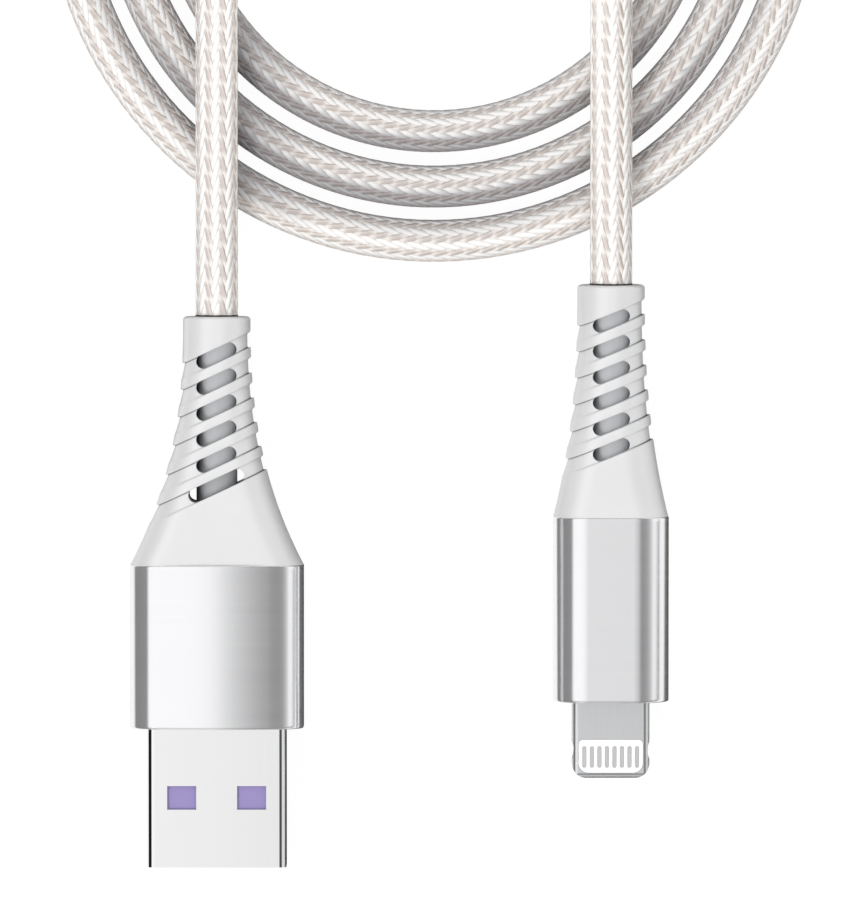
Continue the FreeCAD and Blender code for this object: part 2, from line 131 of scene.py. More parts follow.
def noise(nodes, where, scale, detail, roughness=0.5):
    return nodes.add("ShaderNodeTexNoise", sockets={"Vector": where, "Scale": scale, "Detail": detail,
                                                    "Roughness": roughness})


def bumps(nodes, height, strength, depth):
    return nodes.add("ShaderNodeBump", sockets={"Strength": strength, "Distance": depth, "Height": height})


def mixed(nodes, share, first, second, blend="MIX"):
    # a colour between two, each a plain colour or a socket; places 6, 7 and 2 are the node's colour sockets
    first, second = (colour if isinstance(colour, Value) else (*colour, 1) for colour in (first, second))
    return nodes.add("ShaderNodeMix", {"data_type": "RGBA", "blend_type": blend},
                     {0: share, 6: first, 7: second}, out=2)


def aroundTone(nodes, share, colour, tones):
    # a colour that varies from a little darker to a little paler
    dark, pale = tones
    return mixed(nodes, share, [c * dark for c in colour], [min(1, c * pale) for c in colour])


def rise(nodes, value, low, high):
    return nodes.add("ShaderNodeMapRange", {"interpolation_type": "SMOOTHSTEP"},
                     {"Value": value, "From Min": low, "From Max": high})


def emptyNodes(owner):  # of a material or the world
    owner.use_nodes = True
    owner.node_tree.nodes.clear()
    return Nodes(owner.node_tree)


def newMaterial(name):
    material = bpy.data.materials.new(name)
    return material, emptyNodes(material)


def principled(nodes, sockets):
    shader = nodes.add("ShaderNodeBsdfPrincipled", sockets=sockets)
    nodes.add("ShaderNodeOutputMaterial", sockets={0: shader})


yarn = {
    # the white yarn's side colour is painted shade: its sides and ends are darker than its crown
    "white": (0.955, 0.94, 0.92), "whiteSideShade": (0.80, 0.76, 0.725),
    "beige": (0.64, 0.57, 0.53), "beigeSide": (0.86, 0.81, 0.77), "shaded": (0.39, 0.39, 0.415),
    # how much the middle, the raised part and the fibres count, and where the tone starts and ends
    "whiteTone": (0.45, 0.4, 0.8, 0.35, 1.05), "beigeTone": (0.15, 1.0, 0.3, 0.85, 1.2),
    # painted shade in the crease between two ends that lie side by side in a bundle: how dark, where across,
    # its two edges
    "seam": 0.25, "seamAt": 0.3, "seamEdges": (0.04, 0.24),
    # how fast the fibres change across the yarn, askew, along it, and from one yarn to the next
    "fibreAcross": 3.2, "fibreAskew": 400.0, "fibreAlong": 260.0, "fibreApart": 40.0,
    "fibreDetail": 2.0, "fibreRoughness": 0.6, "bump": 0.3, "bumpDepth": 0.00004,
    "roughness": 0.75, "specular": 0.25, "sheen": 0.15, "sheenRoughness": 0.5,
}


def yarnFinish(name, crown, side, tones):
    # a bundle of filaments: one tone where it stands out, another at its sides and ends, streaked lengthwise;
    # on the white yarn the darker sides and ends are painted shade
    byMiddle, byRaised, byFibre, first, last = tones
    material, nodes = newMaterial(name)
    along, across, raised, tone, shade = (
        painted(nodes, "yarn" + part) for part in ("Along", "Across", "Raised", "Tone", "Shade"))
    strand = joined(nodes, X=across * yarn["fibreAcross"] + along * yarn["fibreAskew"],
                    Y=along * yarn["fibreAlong"], Z=tone * yarn["fibreApart"])
    fibre = noise(nodes, strand, 1.0, yarn["fibreDetail"], yarn["fibreRoughness"])
    middle = 1.0 - across * across
    # seam is a painted shade in the crease between two ends
    seam = 1.0 - rise(nodes, (across - yarn["seamAt"]).calc("ABSOLUTE"), *yarn["seamEdges"])
    light = nodes.add("ShaderNodeMapRange", sockets={
        "Value": middle * byMiddle + raised * byRaised + fibre * byFibre - seam * yarn["seam"],
        "From Min": first, "From Max": last})
    # the coil's painted shade, carried in yarnShade, multiplies the colour towards the shaded tone
    shaded = mixed(nodes, shade, mixed(nodes, light, side, crown), yarn["shaded"], "MULTIPLY")
    principled(nodes, {
        "Base Color": shaded, "Normal": bumps(nodes, fibre, yarn["bump"], yarn["bumpDepth"]),
        "Roughness": yarn["roughness"], "Specular IOR Level": yarn["specular"], "Sheen Weight": yarn["sheen"],
        "Sheen Roughness": yarn["sheenRoughness"]})
    return material


metalGrain = {"streakDetail": 4.0, "cloudScale": 160.0, "cloudDetail": 2.0, "streakRough": 0.10,
              "cloudRough": 0.05, "streakTone": 0.7, "cloudTone": 0.3, "tones": (0.95, 1.03),
              "bumpDepth": 0.00005}


def metalFinish(name, colour, roughness, brush, metal=1.0, bump=0.03):
    # brushed or satin metal: fine lines, closer together where brush is larger, and a slow change of tone
    material, nodes = newMaterial(name)
    grain = metalGrain
    where = objectPlace(nodes)
    lines = nodes.add("ShaderNodeMapping", sockets={"Vector": where, "Scale": brush})
    streak = noise(nodes, lines, 1.0, grain["streakDetail"])
    cloud = noise(nodes, where, grain["cloudScale"], grain["cloudDetail"])
    evenly = roughness - (grain["streakRough"] + grain["cloudRough"]) / 2
    principled(nodes, {
        "Base Color": aroundTone(nodes, streak * grain["streakTone"] + cloud * grain["cloudTone"], colour,
                                 grain["tones"]),
        "Roughness": streak * grain["streakRough"] + cloud * grain["cloudRough"] + evenly,
        "Metallic": metal, "Normal": bumps(nodes, streak, bump, grain["bumpDepth"])})
    return material


# contact is the near-black colour of the painted shade: in the corners of the relief's grooves and on a cord
# end under the slots
plasticGrain = {"cellScale": 9000.0, "cloudScale": 220.0, "detail": 2.0, "cellRough": 0.12,
                "tones": (0.96, 1.03), "contact": (0.06, 0.06, 0.065), "bump": 0.15, "bumpDepth": 0.00003,
                # the shade on a cord end: how far left of its middle it starts and is full, in millimetres
                "slotShade": (0.7, 1.9)}


def plasticFinish(name, colour, roughness, gloss=(1.5, 0.4), shadedLeftOf=None):
    # moulded plastic: spark-eroded grain and a faint cloud of tone, darkened by painted shade where the
    # attribute contact is painted or, on a cord end, under the left ends of the slots
    material, nodes = newMaterial(name)
    grain = plasticGrain
    where = objectPlace(nodes)
    cell = noise(nodes, where, grain["cellScale"], grain["detail"])
    cloud = noise(nodes, where, grain["cloudScale"], grain["detail"])
    if shadedLeftOf is None:
        shade = painted(nodes, "contact")
    else:
        shade = rise(nodes, parts(nodes, where)[0] * (-1 / mm) + shadedLeftOf, *grain["slotShade"])
    tint = mixed(nodes, shade, aroundTone(nodes, cloud, colour, grain["tones"]), grain["contact"], "MULTIPLY")
    principled(nodes, {
        "Base Color": tint, "Roughness": cell * grain["cellRough"] + (roughness - grain["cellRough"] / 2),
        "IOR": gloss[0], "Specular IOR Level": gloss[1],
        "Normal": bumps(nodes, cell, grain["bump"], grain["bumpDepth"])})
    return material


# where each plug lies: its middle line, the front of its housing, how far its nose dips, its relief's end
plugs = {
    "charger": {"axisX": -15.765, "front": -13.14, "halfThickness": 3.9, "dip": 2.2734, "tail": 35.5},
    "phone": {"axisX": 18.265, "front": -10.86, "halfThickness": 3.0, "dip": 3.688, "tail": 36.0},
}
coreColour = (0.485, 0.495, 0.51)

# each finish: its name, colour and roughness, and for a metal how closely its fine lines stand each way
finish = {
    "yarnWhite": yarnFinish("yarnWhite", yarn["white"], yarn["whiteSideShade"], yarn["whiteTone"]),
    "yarnBeige": yarnFinish("yarnBeige", yarn["beige"], yarn["beigeSide"], yarn["beigeTone"]),
    "cordFiller": plasticFinish("cordFiller", (0.80, 0.76, 0.73), 0.8),
    "aluminium": metalFinish("satinAluminium", (0.93, 0.93, 0.945), 0.165, (60, 4000, 60), metal=0.762),
    "shellSteel": metalFinish("shellSteel", (0.95, 0.95, 0.955), 0.075, (2500, 90, 2500), bump=0.004),
    "tabSteel": metalFinish("tabSteel", (0.76, 0.765, 0.78), 0.17, (3000, 120, 3000), metal=0.8),
    "relief": plasticFinish("reliefPlastic", (0.76, 0.76, 0.765), 0.42, gloss=(2.1, 0.75)),
    # the bore's dark grey is painted shade: the bore is the relief's own plastic
    "bore": plasticFinish("reliefBorePaintedShade", (0.26, 0.26, 0.265), 0.6),
    # the cord ends carry a painted shade under the left ends of the slots
    "chargerCore": plasticFinish("chargerCorePlastic", coreColour, 0.4, shadedLeftOf=plugs["charger"]["axisX"]),
    "phoneCore": plasticFinish("phoneCorePlastic", coreColour, 0.4, shadedLeftOf=plugs["phone"]["axisX"]),
    # the collar's near-black is painted shade where the cord leaves the relief
    "collar": plasticFinish("collarPaintedShade", (0.05, 0.05, 0.05), 0.6),
    "mould": plasticFinish("innerMould", (0.8, 0.8, 0.8), 0.5),
    "tongue": plasticFinish("tonguePlastic", (0.305, 0.25, 0.505), 0.35),
    "bed": plasticFinish("bedPlastic", (0.985, 0.985, 0.985), 0.25),
    "gold": metalFinish("goldContact", (0.80, 0.60, 0.30), 0.2, (3000, 200, 3000)),
    "plated": metalFinish("platedContact", (0.88, 0.88, 0.88), 0.2, (3000, 200, 3000)),
}
print("finishes made:", len(finish))


def newPiece(name, mesh, material, stands=()):
    piece = bpy.data.objects.new(name, mesh)
    scene.collection.objects.link(piece)
    if material:
        mesh.materials.clear()
        mesh.materials.append(material)
    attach(piece, "root")
    if stands:
        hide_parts(*stands)
    return piece


def plugPlace(plug):
    lift = plug["halfThickness"] * math.cos(math.radians(plug["dip"]))
    return (Matrix.Translation(Vector((plug["axisX"], plug["front"], lift)) * mm)
            @ Matrix.Rotation(math.radians(plug["dip"]), 4, "X") @ Matrix.Scale(mm, 4))


cord = {
    "diameter": 3.6, "length": 0.647, "level": 1.86,
    "coilCentre": (2.975, 60.82),
    "turnRadii": (22.4, 27.2, 31.9),
    "pointsPerHalf": 12,
    "coreRadius": 1.71, "lineSteps": 8, "roundSteps": 3,
    # points of the two legs on their plugs' middle lines: place along, height
    "chargerLeg": ((22.33, 5.305), (30.0, 5.61), (44.0, 6.165), (55.0, 6.60)),
    "phoneLeg": ((59.0, 7.50), (48.0, 6.79), (34.0, 5.885), (25.07, 5.31)),
    # the charger's leg turns over: its half turn's middle beside the coil's, radius, drop, how soon it drops
    "turnOver": (1.83, 20.57, 4.97, 1.1),
    # the outer turn's climb over the others, from the coil's centre
    "climb": ((-31.95, 4.5, 1.90), (-31.0, 12.5, 2.6), (-27.0, 20.3, 4.3), (-20.0, 26.0, 6.6),
              (-11.5, 28.6, 8.0), (-2.3, 28.2, 8.3), (5.6, 24.2, 8.2), (11.4, 17.6, 8.0), (14.9, 9.2, 7.9)),
}


def cordRoute():
    centreX, centreY = cord["coilCentre"]
    turns = cord["turnRadii"]
    count = cord["pointsPerHalf"]
    bulge = 1 / (0.75 + 0.25 * math.cos(math.pi / count))  # the spline cuts inside its points
    points = [(plugs["charger"]["axisX"], y, z) for y, z in cord["chargerLeg"]]

    def half(middle, radius, below, lift=lambda share: 0):  # half a turn, below or above its centre
        for step in range(count):
            share = (step + 0.5) / count
            turn = math.pi * (step + 0.5) / count
            side = math.cos(turn) if below else -math.cos(turn)
            up = -math.sin(turn) if below else math.sin(turn)
            points.append((centreX + middle + side * radius * bulge, centreY + up * radius * bulge,
                           cord["level"] + lift(share)))

    middle, radius, drop, power = cord["turnOver"]
    half(middle, radius, False, lambda share: drop * (1 - share) ** power)
    for index, radius in enumerate(turns):
        half(0, radius, True)
        if index + 1 < len(turns):
            wider = turns[index + 1]
            half((wider - radius) / 2, (wider + radius) / 2, False)
    points.extend((centreX + x, centreY + y, z) for x, y, z in cord["climb"])
    points.extend((plugs["phone"]["axisX"], y, z) for y, z in cord["phoneLeg"])
    return [Vector(point) * mm for point in points]


def cordCurve():
    shape = bpy.data.curves.new("cordCore", "CURVE")
    shape.dimensions = "3D"
    shape.resolution_u = cord["lineSteps"]
    shape.bevel_depth = cord["coreRadius"] * mm
    shape.bevel_resolution = cord["roundSteps"]
    shape.use_fill_caps = True
    spline = shape.splines.new("NURBS")
    route = cordRoute()
    spline.points.add(len(route) - 1)
    for point, at in zip(spline.points, route):
        point.co = (*at, 1)
    spline.order_u = 3
    spline.use_endpoint_u = True
    return shape


def cordLine(shape):
    bare = shape.copy()
    bare.bevel_depth = 0
    holder = bpy.data.objects.new("cordLineHolder", bare)
    mesh = bpy.data.meshes.new_from_object(holder)
    bpy.data.objects.remove(holder)
    return [vertex.co.copy() for vertex in mesh.vertices], mesh


coreShape = cordCurve()
cordPoints, cordWire = cordLine(coreShape)
coreCord = newPiece("cordCore", coreShape, finish["cordFiller"],
                    ("cord_charger_leg", "cord_coil", "cord_phone_leg"))
cordLength = sum((b - a).length for a, b in zip(cordPoints, cordPoints[1:]))
print("cord line:", len(cordPoints), "points,", round(cordLength, 4), "m")


braid = {
    "carriers": 54, "perPiece": 9, "columns": 9, "seed": 7,
    "pitch": 41.8, "coilPitch": 35.4, "coilReach": (52.0, 600.0),
    "radius": 1.76, "lift": 0.034, "yarnWidth": 0.49, "whiteWidth": 1.06, "yarnThickness": 0.06,
    "step": 0.45,
    "turn": 0.486, "twist": -0.065,  # how far round the pattern stands, and how far it creeps in a metre
    "flatTop": 0.35, "narrowUnder": 0.22,  # how long a yarn stays on top, and how much it narrows below
    # a yarn is a ring of six sides, which stands a little lower than its circle
    "sides": 6, "halfThick": 0.5, "halfWide": 0.55,
}
# the shade painted on the coil's yarns. Where three numbers stand together, the first two say where it starts
# and is full, in cord radii outwards from the cord's middle line, and the third how dark it is
coilShade = {
    "innerEdge": (0.78, 1.0, 0.85), "innerSide": (0.5, 0.7, 0.42),
    "outerSide": (0.1, 0.42, 0.45),  # of the two inner turns
    "front": (0.35, 0.7, 0.41),  # darker there towards the plugs: from which share of the turn's radius
    "outerTurn": (-0.3, 0.8, 0.42), "innerTurns": 0.2, "everywhere": 0.07,
    "outerTurnFrom": 29.8, "outerTurnBlend": 1.7,
    "below": 3.2, "belowFade": (0.75, 1.9),  # none on what passes higher: the fade is in shares of below
    # right of the charger's leg: shares of its reach, how dark, and how much weaker on a turn's outer side
    "legFromCentre": -18.74, "legReach": 12.0, "leg": (0.1, 1.0, 0.85), "legOuterSide": (0.1, 0.7, 0.6),
    "legOuterTurn": 0.35, "legFar": 0.45,
}


def turnShade(nodes, given, middle, moved):
    # how dark a yarn of the coil is painted: by the next turn, and right of the charger's leg
    def reach(key):
        return coilShade[key][:2]

    def dark(key):
        return coilShade[key][2]

    def flatLength(x, y):
        return vectorMaths(nodes, "LENGTH", {0: joined(nodes, X=x, Y=y)}, out="Value")

    fromCentre = vectorMaths(nodes, "SUBTRACT", {0: middle, 1: given["Coil Centre"]})
    beside, above, height = parts(nodes, fromCentre)
    yarnBeside, yarnAbove = parts(nodes, vectorMaths(nodes, "ADD", {0: fromCentre, 1: moved}))[:2]
    turnRadius = flatLength(beside, above)
    across = (flatLength(yarnBeside, yarnAbove) - turnRadius) / given["Radius"]
    inwards = across * -1.0
    blend = coilShade["outerTurnBlend"] * mm
    outer = rise(nodes, turnRadius - given["Outer Turn From"], -blend, blend)
    low = 1.0 - rise(nodes, height / given["Shade Below"], *coilShade["belowFade"])
    edge = rise(nodes, inwards, *reach("innerEdge")) * dark("innerEdge")
    near = rise(nodes, inwards, *reach("innerSide")) * dark("innerSide")
    front = rise(nodes, above * -1.0 / turnRadius, *reach("front"))
    far = (rise(nodes, across, *reach("outerSide")) * (1.0 - outer)
           * (front * dark("front") + dark("outerSide")))
    off = (beside - given["Leg From Centre"]) / given["Leg Shade Reach"]
    leg = (off > 0.0) * (above < 0.0) * (1.0 - rise(nodes, off, *reach("leg"))) * dark("leg")
    leg = leg * (1.0 - rise(nodes, across, *reach("legOuterSide"))
                 * (outer * coilShade["legOuterTurn"] + dark("legOuterSide")))
    far = far + leg * coilShade["legFar"]
    inside = (rise(nodes, inwards, *reach("outerTurn")) * outer * dark("outerTurn")
              + (1.0 - outer) * coilShade["innerTurns"] + coilShade["everywhere"])
    for other in (near, far, leg, inside):
        edge = edge.calc("MAXIMUM", other)
    return edge * low


def newTree(name, inputs, result):
    # a geometry tree with named inputs, and what they give
    tree = bpy.data.node_groups.new(name, "GeometryNodeTree")
    for label, kind in inputs:
        tree.interface.new_socket(label, in_out="INPUT", socket_type="NodeSocket" + kind)
    tree.interface.new_socket(result, in_out="OUTPUT", socket_type="NodeSocketGeometry")
    nodes = Nodes(tree)
    return tree, nodes, {value.socket.name: value for value in nodes.add("NodeGroupInput", out=None)}


def stored(nodes, geometry, name, item):
    return nodes.add("GeometryNodeStoreNamedAttribute", {"data_type": "FLOAT", "domain": "POINT"},
                     {"Geometry": geometry, "Name": name, "Value": item})


def braidTree():
    tree, nodes, given = newTree("braid", (
        ("Line", "Geometry"), ("First Yarn", "Int"), ("Yarns", "Int"), ("All Yarns", "Int"), ("Columns", "Int"),
        ("Pitch", "Float"), ("Coil Pitch", "Float"), ("Coil From", "Float"), ("Coil To", "Float"),
        ("Radius", "Float"), ("Lift", "Float"), ("Yarn Width", "Float"), ("White Width", "Float"),
        ("Yarn Thickness", "Float"), ("Step", "Float"), ("Turn", "Float"), ("Twist", "Float"), ("Seed", "Int"),
        ("Coil Centre", "Vector"), ("Shade Below", "Float"), ("Outer Turn From", "Float"),
        ("Leg From Centre", "Float"), ("Leg Shade Reach", "Float"), ("White", "Material"),
        ("Beige", "Material")), "Yarns")
    line = nodes.add("GeometryNodeMeshToCurve", sockets={"Mesh": given["Line"]})
    even = nodes.add("GeometryNodeResampleCurve", {"mode": "LENGTH"}, {"Curve": line, "Length": given["Step"]})
    held, along, tangent, normal, middle = nodes.add(
        "GeometryNodeCaptureAttribute", {"domain": "POINT", "captured": {
            "along": "FLOAT", "tangent": "VECTOR", "normal": "VECTOR", "middle": "VECTOR"}},
        {0: even, 1: nodes.add("GeometryNodeSplineParameter", out="Length"),
         2: nodes.add("GeometryNodeInputTangent"), 3: nodes.add("GeometryNodeInputNormal"),
         4: nodes.add("GeometryNodeInputPosition")}, out=None)
    copies, copy = nodes.add("GeometryNodeDuplicateElements", {"domain": "SPLINE"},
                             {"Geometry": held, "Amount": given["Yarns"]}, out=None)
    number = copy + given["First Yarn"]
    leaning = number.calc("MODULO", 2.0) * -2.0 + 1.0  # 1 for a white yarn, -1 for a beige one
    # a white yarn and a beige one start together
    start = number.calc("DIVIDE", 2.0).calc("FLOOR") * 4 * math.pi / given["All Yarns"]
    onCoil = along.calc("MAXIMUM", given["Coil From"]).calc("MINIMUM", given["Coil To"]) - given["Coil From"]
    turnsWound = (along - onCoil) / given["Pitch"] + onCoil / given["Coil Pitch"]
    angle = start + leaning * turnsWound * (2 * math.pi)
    wave = (angle * given["Columns"]).calc("COSINE") * leaning
    swell = wave * (1 + braid["flatTop"]) - wave * wave * wave * braid["flatTop"]
    reach = given["Radius"] + swell * given["Lift"]
    binormal = vectorMaths(nodes, "CROSS_PRODUCT", {0: tangent, 1: normal})
    turned = angle + given["Turn"] + along * given["Twist"]
    sideways = vectorMaths(nodes, "SCALE", {0: binormal, "Scale": turned.calc("SINE")})
    upwards = vectorMaths(nodes, "SCALE", {0: normal, "Scale": turned.calc("COSINE")})
    outwards = vectorMaths(nodes, "ADD", {0: sideways, 1: upwards})
    moved = vectorMaths(nodes, "SCALE", {0: outwards, "Scale": reach})
    wound = nodes.add("GeometryNodeSetPosition", sockets={"Geometry": copies, "Offset": moved})
    shade = turnShade(nodes, given, middle, moved)
    marked = nodes.add("GeometryNodeSetCurveNormal", {"mode": "FREE"}, {"Curve": wound, "Normal": outwards})
    slim = ((given["White Width"] * (leaning > 0.0) + (leaning < 0.0))
            * (swell * braid["narrowUnder"] + (1 - braid["narrowUnder"])))
    # output 1 is the float one
    chance = nodes.add("FunctionNodeRandomValue", sockets={"ID": number, "Seed": given["Seed"]}, out=1)
    for name, item in (("yarnAlong", along), ("yarnRaised", swell), ("yarnLean", leaning),
                       ("yarnTone", chance), ("yarnShade", shade)):
        marked = stored(nodes, marked, name, item)
    ring = nodes.add("GeometryNodeCurvePrimitiveCircle", {"mode": "RADIUS"},
                     {"Resolution": braid["sides"], "Radius": 1.0})
    across = parts(nodes, nodes.add("GeometryNodeInputPosition"))[1]
    flat = joined(nodes, X=given["Yarn Thickness"] * braid["halfThick"],
                  Y=given["Yarn Width"] * braid["halfWide"], Z=1.0)
    lens = nodes.add("GeometryNodeTransform",
                     sockets={"Geometry": stored(nodes, ring, "yarnAcross", across), "Scale": flat})
    solid = nodes.add("GeometryNodeCurveToMesh", sockets={"Curve": marked, "Profile Curve": lens, "Scale": slim,
                                                          "Fill Caps": True})
    smooth = nodes.add("GeometryNodeSetShadeSmooth", sockets={"Geometry": solid})
    real = nodes.add("GeometryNodeRealizeInstances", sockets={"Geometry": smooth})
    lean = nodes.add("GeometryNodeInputNamedAttribute", {"data_type": "FLOAT"}, {"Name": "yarnLean"})
    white = nodes.add("GeometryNodeSetMaterial", sockets={"Geometry": real, "Material": given["White"]})
    both = nodes.add("GeometryNodeSetMaterial", sockets={"Geometry": white, "Selection": lean < 0.0,
                                                         "Material": given["Beige"]})
    nodes.add("NodeGroupOutput", sockets={0: both})
    return tree


def setInputs(modifier, values):
    # an input is set by its socket's identifier
    known = {item.name: item.identifier for item in modifier.node_group.interface.items_tree
             if item.in_out == "INPUT"}
    for name, value in values.items():
        modifier[known[name]] = value


def bakeTree(name, mesh, tree, values):
    holder = bpy.data.objects.new(name + "Holder", mesh)
    scene.collection.objects.link(holder)
    modifier = holder.modifiers.new("tree", "NODES")
    modifier.node_group = tree
    setInputs(modifier, values)
    graph = bpy.context.evaluated_depsgraph_get()
    made = bpy.data.meshes.new_from_object(holder.evaluated_get(graph), depsgraph=graph)
    holder.modifiers.remove(modifier)
    bpy.data.objects.remove(holder)
    made.name = name
    return made


yarnTree = braidTree()
braidSizes = {
    "Pitch": braid["pitch"], "Coil Pitch": braid["coilPitch"], "Coil From": braid["coilReach"][0],
    "Coil To": braid["coilReach"][1], "Radius": braid["radius"], "Lift": braid["lift"],
    "Yarn Width": braid["yarnWidth"], "Yarn Thickness": braid["yarnThickness"], "Step": braid["step"],
    "Shade Below": coilShade["below"], "Outer Turn From": coilShade["outerTurnFrom"],
    "Leg From Centre": coilShade["legFromCentre"], "Leg Shade Reach": coilShade["legReach"],
}
for first in range(0, braid["carriers"], braid["perPiece"]):
    name = "braidYarns" + str(first // braid["perPiece"] + 1)
    mesh = bakeTree(name, cordWire.copy(), yarnTree, {
        **{label: size * mm for label, size in braidSizes.items()},
        "First Yarn": first, "Yarns": braid["perPiece"], "All Yarns": braid["carriers"],
        "Columns": braid["columns"], "White Width": braid["whiteWidth"], "Turn": braid["turn"],
        "Twist": braid["twist"], "Seed": braid["seed"],
        "Coil Centre": (*[at * mm for at in cord["coilCentre"]], 0.0),
        "White": finish["yarnWhite"], "Beige": finish["yarnBeige"]})
    newPiece(name, mesh, None)
    print(name, "faces", len(mesh.polygons), "materials", [m.name for m in mesh.materials])
print("braid wound")


# a plug's section is walked from its top middle round to the right, in steps of one quarter
sectionSteps = {"face": 6, "corner": 10, "flank": 2}
quarterSteps = sum(sectionSteps.values())
wholeRound = range(4 * quarterSteps)


def sectionPoint(step, width, thickness, corner, crown=None):
    quarter, at = divmod(step, quarterSteps)
    if quarter % 2:
        at = quarterSteps - at
    cornerX = width / 2 - corner
    if crown is None:
        cornerZ, lean = thickness / 2 - corner, math.pi / 2
    else:
        crownZ = thickness / 2 - crown
        cornerZ = crownZ + math.sqrt((crown - corner) ** 2 - cornerX ** 2)
        lean = math.atan2(cornerZ - crownZ, cornerX)
    face, bend, flank = sectionSteps["face"], sectionSteps["corner"], sectionSteps["flank"]
    if at <= face:
        x = (cornerX + corner * math.cos(lean)) * at / face
        z = thickness / 2 if crown is None else crownZ + math.sqrt(crown ** 2 - x ** 2)
    elif at <= face + bend:
        turn = lean * (1 - (at - face) / bend)
        x, z = cornerX + corner * math.cos(turn), cornerZ + corner * math.sin(turn)
    else:
        x, z = width / 2, cornerZ * (1 - (at - face - bend) / flank)
    return (x if quarter in (0, 1) else -x), (z if quarter in (0, 3) else -z)


def ringMesh(name, rings, place):
    # rings of as many points each, joined one to the next and the last to the first
    shape = bmesh.new()
    rows = [[shape.verts.new(place @ Vector(point)) for point in ring] for ring in rings]
    for near, far in zip(rows, rows[1:] + rows[:1]):
        for index in range(len(near)):
            after = (index + 1) % len(near)
            shape.faces.new((near[index], near[after], far[after], far[index]))
    bmesh.ops.recalc_face_normals(shape, faces=shape.faces)
    mesh = bpy.data.meshes.new(name)
    shape.to_mesh(mesh)
    shape.free()
    return mesh


def smoothShade(mesh, degrees):
    mesh.shade_smooth()
    mesh.set_sharp_from_angle(angle=math.radians(degrees))


housing = {
    "charger": {"width": 15.0, "thickness": 7.8, "corner": 2.5, "crown": 40.0, "length": 14.1, "lip": 1.2,
                "hole": (12.1, 4.6, 0.65)},
    "phone": {"width": 10.0, "thickness": 6.0, "corner": 2.65, "crown": None, "length": 16.0, "lip": 1.0,
              "hole": (6.8, 1.6, 0.55)},
}
housingShape = {"wall": 0.8, "edge": 0.12, "edgeRings": 3, "beforeEdge": 0.2, "holeEdge": (0.08, 0.12),
                "smooth": 40}


def housingMesh(name, sizes, place):
    # outside with eased edges, rear rim, inside, lip and the opening for the nose
    def ring(y, inset):
        crown = sizes["crown"] and sizes["crown"] - inset
        section = (sizes["width"] - 2 * inset, sizes["thickness"] - 2 * inset, sizes["corner"] - inset, crown)
        return [(x, y, z) for x, z in (sectionPoint(step, *section) for step in wholeRound)]

    def hole(y, wider):
        section = [size + wider for size in sizes["hole"]]
        return [(x, y, z) for x, z in (sectionPoint(step, *section) for step in wholeRound)]

    def easedEdge(end, inwards):
        turns = [math.pi / 2 * share / shape["edgeRings"] for share in range(shape["edgeRings"] + 1)]
        return [ring(end + inwards * edge * (1 - math.sin(turn)), edge * (1 - math.cos(turn)))
                for turn in turns]

    shape = housingShape
    edge, wall, length, lip = shape["edge"], shape["wall"], sizes["length"], sizes["lip"]
    flat = edge + shape["beforeEdge"]  # rings there keep the long faces' shading flat
    holeDepth, holeWider = shape["holeEdge"]
    rings = easedEdge(0, 1)[::-1] + [ring(flat, 0), ring(length - flat, 0)] + easedEdge(length, -1)
    rings += [ring(length, wall), ring(lip, wall), hole(lip, 0), hole(holeDepth, 0), hole(0, holeWider)]
    mesh = ringMesh(name, rings, place)
    smoothShade(mesh, shape["smooth"])
    return mesh


relief = {
    "charger": {"base": 14.1, "length": 21.4, "baseWidth": 14.9, "baseThickness": 6.99, "corner": 2.5,
                "slots": 6, "pitch": 2.24, "fromTail": 3.32, "angle": 25.0, "slotLength": 3.72,
                "lastSlotLength": 5.2},
    "phone": {"base": 16.0, "length": 20.0, "baseWidth": 9.9, "baseThickness": 5.9, "corner": 2.65,
              "slots": 6, "pitch": 2.22, "fromTail": 3.02, "angle": 22.0, "slotLength": 3.36,
              "lastSlotLength": 3.36},
}
reliefShape = {
    "flare": 2.45, "flareRings": 9, "rounds": 8, "tailWidth": 5.8, "tailThickness": 5.5, "cornerSpare": 0.1,
    "tailEdge": 0.3, "tailRings": 4, "boreRadius": 1.79, "mouthDepth": 0.1, "mouthWider": 1.06,
    "boreReach": 1.02,  # in bore radii: a face whose middle is nearer is one of the bore's
    "smooth": 35, "grooveWidth": 1.22, "grooveDepth": 0.28,
    # the groove's side: distance from its middle line in half widths, share of the depth
    "grooveSide": ((1.22, 0.0), (1.07, 0.04), (1.0, 0.18), (0.95, 0.5), (0.91, 0.8), (0.84, 0.95),
                   (0.74, 1.0), (0.0, 1.0)),
    # on the left the groove runs out to its lower side: how fast, and from which share of the width
    "runOut": 2.5, "runOutFrom": 0.25,
    "slotWidth": 1.22, "slotDepth": 6.0, "slotRounding": 12, "slotFillet": 0.4999, "weld": 0.0001,
    # the painted shade in the corner of a groove: its place and width in half widths, how full, and how it
    # grows sideways
    "darkAt": 0.88, "darkWidth": 0.08, "darkFull": 1.5, "darkReach": 2.2, "darkFrom": 0.2, "darkLeft": 0.75,
}


def slantOf(sizes):
    # how far a groove rises across, and half its width along the relief
    angle = math.radians(sizes["angle"])
    return math.tan(angle), reliefShape["grooveWidth"] / 2 / math.cos(angle)


